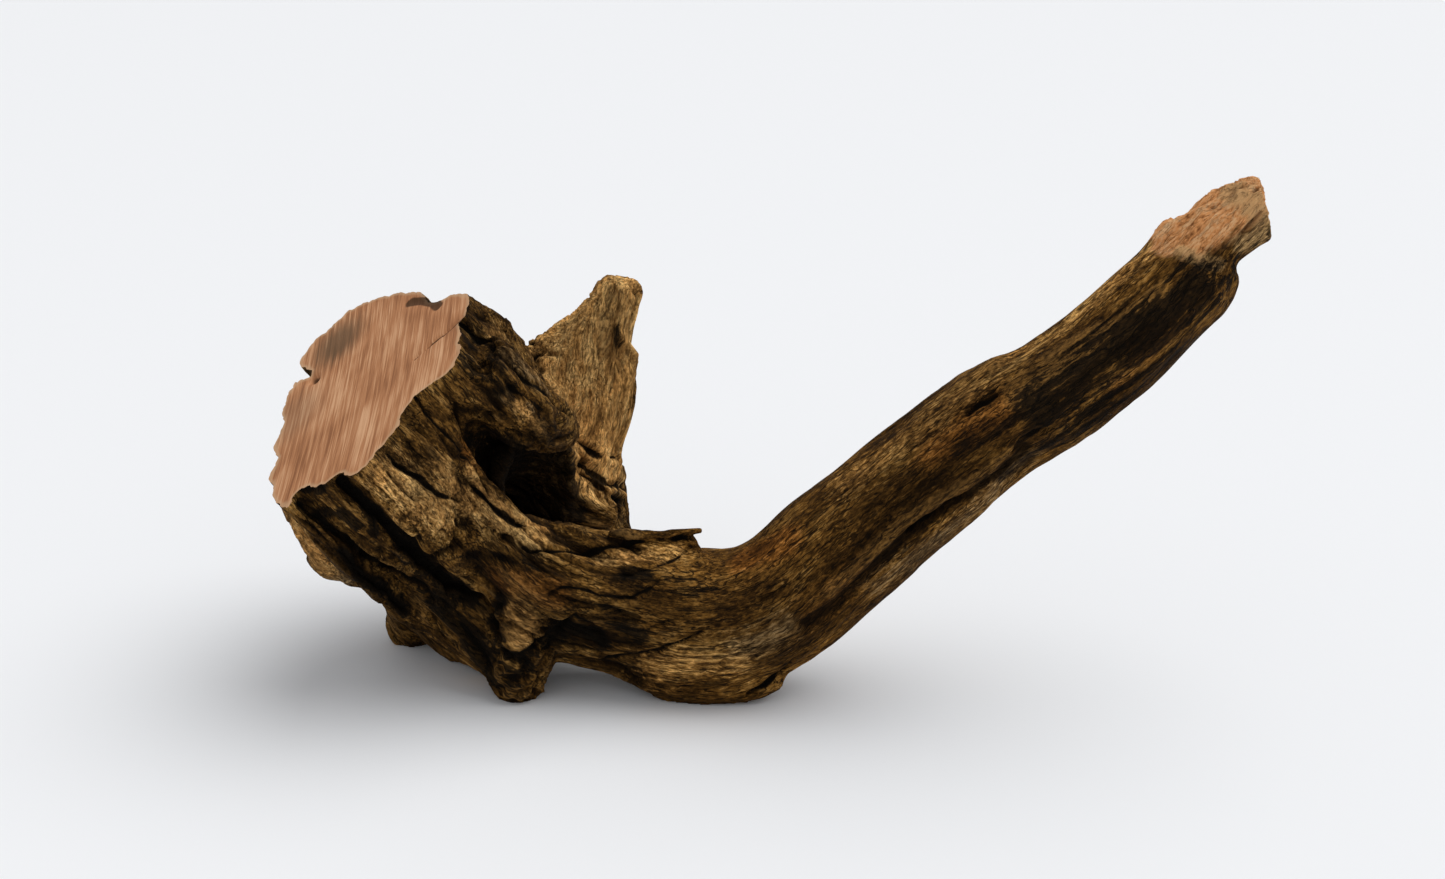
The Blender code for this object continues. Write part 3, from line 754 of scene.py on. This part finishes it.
# %% Store the cracks
CRACK_REACH, WAVER, WAVER_SIZE = 1.9, 0.9, 6
END_SHARE, END_LENGTH = 0.35, 8
FACE_REACH, FACE_BLACK, FACE_NEAR = 2.2, 0.9, 4
inside = np.zeros(len(places))
thickness = 1 + WAVER * noise_of(uncarved, WAVER_SIZE, WAVER_SIZE)
for depth, half_width, blackness, line in CRACKS.values():
    from_end = np.min([np.linalg.norm(wavy - end, axis=1) for end in (line[0], line[-1])], 0)
    taper = END_SHARE + (1 - END_SHARE) * ease(from_end, 0, END_LENGTH)
    reach = CRACK_REACH * half_width * thickness * taper
    inside = np.maximum(inside, blackness * (1 - distance_to(wavy, line) / reach))
above_face = above_saw_plane(places)
above_face[abs(above_face) >= FACE_NEAR] = 0
flattened = places - above_face[:, None] * np.array(SAW_NORMAL)
for depth, half_width, line in FACE_CRACKS.values():
    reach = FACE_REACH * half_width
    there = FACE_BLACK * (1 - distance_to(wander(flattened), line) / reach)
    inside = np.maximum(inside, there)
store("crack", inside)
print((inside > 0.5).sum(), "points inside a crack")

# %% [markdown]
# Points in hollows and folds get painted shade: their colour is darkened nearly to black,
# like an ambient occlusion baked into the finish. To find them, each point looks out in a
# few directions and counts how many are blocked close by. That costs a few seconds, but no
# drawn mask would follow every fold so well.

# %% Find how much painted shade each point gets
LOOKS = 20
LOOK_REACH = 22
LOOK_START = 0.35
skin = bvhtree.BVHTree.FromPolygons([Vector(place) for place in places],
                                    [face.vertices[:] for face in wood.data.polygons])
turn = math.pi * (3 - math.sqrt(5))
looks = []
for number in range(LOOKS):
    rise = math.sqrt((number + 0.5) / LOOKS)
    looks.append((math.sqrt(1 - rise * rise) * math.cos(turn * number),
                  math.sqrt(1 - rise * rise) * math.sin(turn * number), rise))
shelter = []
for place, normal in zip(places, read_points(wood.data, "normal")):
    place, normal = Vector(place), Vector(normal)
    side = normal.orthogonal().normalized()
    other = normal.cross(side)
    start = place + LOOK_START * normal
    blocked = 0.0
    for x, y, z in looks:
        away = skin.ray_cast(start, x * side + y * other + z * normal, LOOK_REACH)[3]
        if away is not None:
            blocked += 1 - away / LOOK_REACH
    shelter.append(blocked / LOOKS)
shelter = np.array(shelter)
store("shelter", shelter)
print("shelter: middle", np.median(shelter).round(3), "and most", shelter.max().round(3))

# %% Store the rim of the sawn face
face_kinds = np.zeros(len(wood.data.polygons), int)
wood.data.polygons.foreach_get("material_index", face_kinds)
corners = np.array([face.vertices[:] for face in wood.data.polygons])
on_face = np.unique(corners[face_kinds == 1])
on_bark = np.unique(corners[face_kinds == 0])
rim = np.intersect1d(on_face, on_bark)
rim_finder = kdtree.KDTree(len(rim))
for number in rim:
    rim_finder.insert(places[number], number)
rim_finder.balance()
from_rim = np.array([rim_finder.find(place)[2] for place in places])
store("from_rim", from_rim)
print(len(rim), "points on the rim")

# %% [markdown]
# ## A way to write finishes
# A finish is a tree of nodes. Wiring each one by hand hides the idea, so two small
# classes help. A Shade is one socket that can be added, multiplied and subtracted like
# a number, and each sign adds its Math node. A Finish makes any other node from its
# kind, its settings and what goes into its sockets. Its speckle is a noise stretched to
# a size, and its step turns a soft value into a crisp edge.

# %% Write the two helpers
class Shade:
    """One output socket that works in sums."""

    def __init__(self, finish, socket):
        self.finish, self.socket = finish, socket

    def sum(self, sign, first, second):
        return self.finish.node("ShaderNodeMath", {"operation": sign}, {0: first, 1: second})

    def __add__(self, other):
        return self.sum("ADD", self, other)

    def __radd__(self, other):
        return self.sum("ADD", other, self)

    def __sub__(self, other):
        return self.sum("SUBTRACT", self, other)

    def __rsub__(self, other):
        return self.sum("SUBTRACT", other, self)

    def __mul__(self, other):
        return self.sum("MULTIPLY", self, other)

    def __rmul__(self, other):
        return self.sum("MULTIPLY", other, self)

    def __abs__(self):
        return self.sum("ABSOLUTE", self, 0)


class Finish:
    """A material that is written as sums and nodes."""
    SHINE = 0.06

    def __init__(self, material):
        material.use_nodes = True
        self.tree = material.node_tree
        self.tree.nodes.clear()

    def node(self, kind, settings=None, sockets=None, output=0):
        node = self.tree.nodes.new(kind)
        for name, value in (settings or {}).items():
            if name == "stops":
                ramp = node.color_ramp.elements
                while len(ramp) < len(value):
                    ramp.new(1)
                for stop, (place, colour) in zip(ramp, value):
                    stop.position, stop.color = place, (*colour, 1)
            else:
                setattr(node, name, value)
        for name, value in (sockets or {}).items():
            socket = node.inputs[name]
            if isinstance(value, Shade):
                self.tree.links.new(value.socket, socket)
            else:
                socket.default_value = value
        return Shade(self, node.outputs[output])

    def stored(self, name, output=2):
        return self.node("ShaderNodeAttribute", {"attribute_name": name}, output=output)

    def stretched(self, place, size):
        return self.node("ShaderNodeVectorMath", {"operation": "MULTIPLY"},
                         {0: place, 1: tuple(1 / s for s in size)})

    def speckle(self, place, size, detail=3, rough=0.55):
        return self.node("ShaderNodeTexNoise", {"noise_dimensions": "3D"},
                         {"Vector": self.stretched(place, size), "Scale": 1.0,
                          "Detail": detail, "Roughness": rough})

    def step(self, value, low, high):
        return self.node("ShaderNodeMapRange", {"interpolation_type": "SMOOTHSTEP"},
                         {"Value": value, "From Min": low, "From Max": high})

    def mix(self, share, first, second, how="MIX"):
        return self.node("ShaderNodeMix", {"data_type": "RGBA", "blend_type": how},
                         {0: share, 6: first, 7: second}, output=2)

    def finish(self, colour, roughness, normal):
        shader = self.node("ShaderNodeBsdfPrincipled", {},
                           {"Base Color": colour, "Roughness": roughness, "Normal": normal,
                            "Specular IOR Level": self.SHINE})
        output = self.tree.nodes.new("ShaderNodeOutputMaterial")
        self.tree.links.new(shader.socket, output.inputs["Surface"])


print("Shade and Finish are ready")

# %% [markdown]
# ## The weathered finish
# Old wood isn't one brown. Broad patches go from dark to tan, long streaks follow the
# grain, and thousands of short dark pores and thin checks cross it. All of these are
# noises read at the grain place, stretched by different amounts. The arm is smoother, so
# it gets less streak and more mottle. A photograph would be quicker, but it would show
# its own light and its edges, and this one works from every side.

# %% Mix the browns
bark = Finish(weathered)
grain_place = bark.stored("grain", output=1)
patches = bark.speckle(grain_place, (22, 8, 8), detail=5, rough=0.62)
streaks = bark.speckle(grain_place, (30, 1.8, 1.8), detail=3, rough=0.6)
mottles = bark.speckle(grain_place, (3.2, 1.2, 1.2), detail=5, rough=0.75)
grit = bark.speckle(grain_place, (2.0, 0.62, 0.62), detail=2, rough=0.6)
arm = bark.stored("arm")
rough_tone = bark.step(0.55 * patches + 0.20 * streaks + 0.25 * mottles, 0.39, 0.62)
arm_tone = bark.step(0.50 * patches + 0.08 * streaks + 0.42 * mottles, 0.35, 0.65)
tone = arm_tone * arm + rough_tone * (1 - arm)
DARK_BROWN = (0.013, 0.0065, 0.0018)
BROWN = (0.057, 0.0265, 0.0058)
TAN = (0.126, 0.061, 0.0132)
PALE_TAN = (0.24, 0.130, 0.037)
browns = bark.node("ShaderNodeValToRGB",
                   {"stops": [(0.0, DARK_BROWN), (0.34, BROWN), (0.68, TAN), (1.0, PALE_TAN)]},
                   {"Fac": tone})
print(len(bark.tree.nodes), "nodes mix the browns")

# %% Add the warm, pale and tan patches, the tan partly painted light
ragged = (streaks - 0.5) * 0.7 + (mottles - 0.5) * 1.1
warm = bark.step(bark.stored("warm") + ragged, 0.15, 0.8)
pale = bark.step(bark.stored("pale") + ragged, 0.15, 0.8)
tan = bark.step(bark.stored("tan") + ragged, 0.12, 0.8)
RANGES = {
    "warm": ((0.050, 0.019, 0.004), (0.15, 0.058, 0.011), (0.36, 0.155, 0.038)),
    "pale": ((0.060, 0.037, 0.015), (0.20, 0.125, 0.056), (0.46, 0.31, 0.155)),
    "tan": ((0.20, 0.097, 0.027), (0.56, 0.29, 0.088), (0.86, 0.52, 0.19)),
}


def shades_of(kind):
    """The colours of one kind of patch, from its darkest to its lightest."""
    stops = list(zip((0, 0.45, 1), RANGES[kind]))
    return bark.node("ShaderNodeValToRGB", {"stops": stops}, {"Fac": tone})


colour = bark.mix(warm * 0.85, browns, shades_of("warm"))
colour = bark.mix(pale * 0.85, colour, shades_of("pale"))
# Partly painted light: the tan lightens the spur and the top edge of the arm as if lit from the
# front and above.
colour = bark.mix(tan * 0.9, colour, shades_of("tan"))
print("patches laid over the browns")

# %% Roughen it with grit and crests
CREST_TAN, ARM_TINT = (0.26, 0.14, 0.043, 1), (0.95, 0.90, 0.79, 1)
relief_height = bark.stored("relief")
crests = bark.step(relief_height + (mottles - 0.5) * 0.9, 0.1, 0.9)
colour = bark.mix(crests * 0.30, colour, CREST_TAN)
clouds = bark.step(bark.speckle(grain_place, (60, 24, 24), detail=2), 0.38, 0.62)
brightness = (0.62 + 1.0 * bark.step(grit, 0.34, 0.66)) * (0.68 + 0.70 * clouds)
colour = bark.node("ShaderNodeVectorMath", {"operation": "SCALE"},
                   {0: colour, "Scale": brightness})
colour = bark.mix(arm, colour, ARM_TINT, how="MULTIPLY")
print("grit and crests added")

# %% Darken the grooves, pores, stains and cracks, with painted shade in hollows and grooves
# Partly painted shade, partly dirt: the low places of the relief, the grooves between ridges, are
# darkened.
groove_shade_and_dirt = 1 - bark.step(relief_height + (mottles - 0.5) * 0.7, -1.5, -0.4)
# Painted shade: the baked occlusion, made a little ragged by the mottles.
painted_occlusion_shade = bark.step(bark.stored("shelter") + (mottles - 0.5) * 0.3, 0.30, 0.72)
pores = bark.step(bark.speckle(grain_place, (5.0, 0.8, 0.8), detail=2), 0.60, 0.65)
thread = bark.speckle(grain_place, (22, 3.4, 3.4), detail=3)
fine_thread = bark.speckle(grain_place, (17, 1.9, 1.9), detail=2)
long_lines = (1 - bark.step(abs(thread - 0.5), 0.006, 0.020)) * bark.step(patches, 0.40, 0.55)
fine_lines = (1 - bark.step(abs(fine_thread - 0.5), 0.008, 0.030)) * bark.step(streaks, 0.47, 0.56)
lines = bark.node("ShaderNodeMath", {"operation": "MAXIMUM"}, {0: long_lines, 1: fine_lines})
black = bark.step(bark.stored("black") + (streaks - 0.5) * 1.5 + (mottles - 0.5) * 1.0, 0.36, 0.60)
# Partly dirt, partly painted shade: the inside of each crack is darkened nearly to black.
crack_dirt_and_shade = bark.step(bark.stored("crack") + (grit - 0.5) * 0.4, 0.50, 0.64)
NEAR_BLACK, OCCLUSION_SHADE_COLOUR = (0.0042, 0.0030, 0.0018, 1), (0.0030, 0.0015, 0.0007, 1)
DIRT_AND_SHADE_DARK = (0.0065, 0.0034, 0.0013, 1)
on_brown = 1 - 0.6 * tan
# The grooves get painted shade and dirt; the pores and thin checks are dark marks of the wood
# itself.
for marks, strength in ((groove_shade_and_dirt, 0.85), (pores, 0.62), (lines, 0.80)):
    colour = bark.mix(marks * on_brown * strength, colour, DIRT_AND_SHADE_DARK)
# Dark stain, and painted shade in the hollow and along the deep cracks, mixed in nearly black.
colour = bark.mix(black * 0.92, colour, NEAR_BLACK)
# Painted shade: points deep in hollows and folds are darkened nearly to black.
colour = bark.mix(painted_occlusion_shade * 0.95, colour, OCCLUSION_SHADE_COLOUR)
# Dirt and painted shade inside the cracks.
colour = bark.mix(crack_dirt_and_shade * 0.95, colour, NEAR_BLACK)
print("grooves, pores and stains added")

# %% Lay the fresh break over it and finish
fresh = bark.stored("fresh")
FRESH_LOW, FRESH_MIDDLE = (0.22, 0.08, 0.025), (0.70, 0.30, 0.105)
FRESH_HIGH, FRESH_OCHRE = (0.86, 0.53, 0.27), (0.60, 0.355, 0.155, 1)
FRESH_VALLEY_SHADE = (0.09, 0.032, 0.011, 1)
torn = bark.node("ShaderNodeValToRGB",
                 {"stops": [(0.34, FRESH_LOW), (0.47, FRESH_MIDDLE), (0.64, FRESH_HIGH)]},
                 {"Fac": 0.5 * streaks + 0.5 * grit})
torn = bark.mix(pale * 0.8, torn, FRESH_OCHRE)
# Painted shade: the low places between the torn fibres are darkened.
torn = bark.mix(groove_shade_and_dirt * 0.75, torn, FRESH_VALLEY_SHADE)
colour = bark.mix(fresh * (1 - crack_dirt_and_shade), colour, torn)
rough = 0.90 + 0.14 * (grit - 0.5) - 0.08 * crests
height = 0.30 * streaks + 0.55 * grit + 0.6 * mottles - 0.5 * pores - 0.6 * lines
bump = bark.node("ShaderNodeBump", {}, {"Height": height, "Distance": 0.0009, "Strength": 1.0})
bark.finish(colour, rough, bump)
print(len(bark.tree.nodes), "nodes in the weathered finish")

# %% [markdown]
# ## The sawn finish
# The cut shows pinkish orange wood. The saw drew long faint stripes across it, the rim
# is a thin pale fringe, one corner has gone grey, and a thin crack runs in from the rim.
# The stripes are a noise on the face's own two directions, which come from the object
# place by two dot products.

# %% Find the place on the sawn face
face = Finish(sawn_wood)
object_place = face.node("ShaderNodeTexCoord", output=3)
centred = face.node("ShaderNodeVectorMath", {"operation": "SUBTRACT"},
                    {0: object_place, 1: tuple(plane_place)})


def along_face(direction):
    """Millimetres along one direction of the sawn face."""
    return face.node("ShaderNodeVectorMath", {"operation": "DOT_PRODUCT"},
                     {0: centred, 1: tuple(direction / MM)}, output=1)


stripe_across = along_face(SAW_UP * MARK_LINE[0] + SAW_BACK * MARK_LINE[1])
stripe_along = along_face(SAW_BACK * MARK_LINE[0] - SAW_UP * MARK_LINE[1])
bent = stripe_across + stripe_along * stripe_along * 0.0009
mark_place = face.node("ShaderNodeCombineXYZ", {}, {"X": bent, "Y": stripe_along})
print("the marks run", [round(c, 2) for c in SAW_BACK * MARK_LINE[0] - SAW_UP * MARK_LINE[1]])

# %% Colour the sawn wood
stripes = face.speckle(mark_place, (1.5, 40, 1), detail=4, rough=0.65)
fine_stripes = face.speckle(mark_place, (0.5, 14, 1), detail=2)
clouds = face.speckle(mark_place, (16, 26, 1), detail=2)
FACE_LOW, FACE_MIDDLE = (0.30, 0.125, 0.055), (0.50, 0.225, 0.102)
FACE_HIGH = (0.74, 0.42, 0.23)
sawn_colour = face.node("ShaderNodeValToRGB",
                        {"stops": [(0.40, FACE_LOW), (0.50, FACE_MIDDLE), (0.60, FACE_HIGH)]},
                        {"Fac": 0.45 * stripes + 0.25 * fine_stripes + 0.30 * clouds})


def face_spot(place, reach):
    """1 at a place on the face, falling to 0 at its reach in millimetres."""
    away = face.node("ShaderNodeVectorMath", {"operation": "DISTANCE"},
                     {0: object_place, 1: tuple((Vector(place) - BENCH_CORNER) * MM)}, output=1)
    return 1 - face.step(away * (1 / MM) + (stripes - 0.5) * 14, 0.25 * reach, reach)


GREY_STAIN, LIGHT_STAIN = (0.11, 0.075, 0.042, 1), (0.20, 0.12, 0.07, 1)
FRINGE, FACE_CRACK_DIRT_AND_SHADE = (0.62, 0.40, 0.23, 1), (0.05, 0.025, 0.012, 1)
fringe = 1 - face.step(face.stored("from_rim") + (fine_stripes - 0.5) * 1.2, 0.3, 1.5)
# The thin crack on the sawn face is darkened with dirt and painted shade.
cracked = face.step(face.stored("crack"), 0.45, 0.6)
for share, shade in ((face_spot((-97, 44.5, 100), 15) * 0.72, GREY_STAIN),
                     (face_spot((-108, 20, 84), 16) * 0.35, LIGHT_STAIN),
                     (fringe * 0.6, FRINGE), (cracked * 0.85, FACE_CRACK_DIRT_AND_SHADE)):
    sawn_colour = face.mix(share, sawn_colour, shade)
face_height = 0.6 * stripes + 0.4 * fine_stripes
face_bump = face.node("ShaderNodeBump", {},
                      {"Height": face_height, "Distance": 0.0003, "Strength": 0.8})
face.finish(sawn_colour, 0.72 + 0.2 * (fine_stripes - 0.5), face_bump)
print(len(face.tree.nodes), "nodes in the sawn finish")

# %% [markdown]
# ## Join the model and put it on the table
# The dressed wood rides on the object's one body and stands for the CAD solid. The
# table is only a stage, so it isn't part of the object.

# %% Hand the wood over
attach(wood, "root")
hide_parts("driftwood")
print(len(wood.data.polygons), "triangles in the dressed wood")

# %% Lay the table
table = bmesh.new()
bmesh.ops.create_grid(table, x_segments=1, y_segments=1, size=6)
table_mesh = bpy.data.meshes.new("table")
table.to_mesh(table_mesh)
table.free()
floor = bpy.data.objects.new("table", table_mesh)
scene.collection.objects.link(floor)
white = bpy.data.materials.new("white_table")
white.use_nodes = True
paint = {"Base Color": (0.86, 0.865, 0.875, 1), "Roughness": 0.6, "Specular IOR Level": 0.2}
for name, value in paint.items():
    white.node_tree.nodes["Principled BSDF"].inputs[name].default_value = value
table_mesh.materials.append(white)
print("the table is laid")
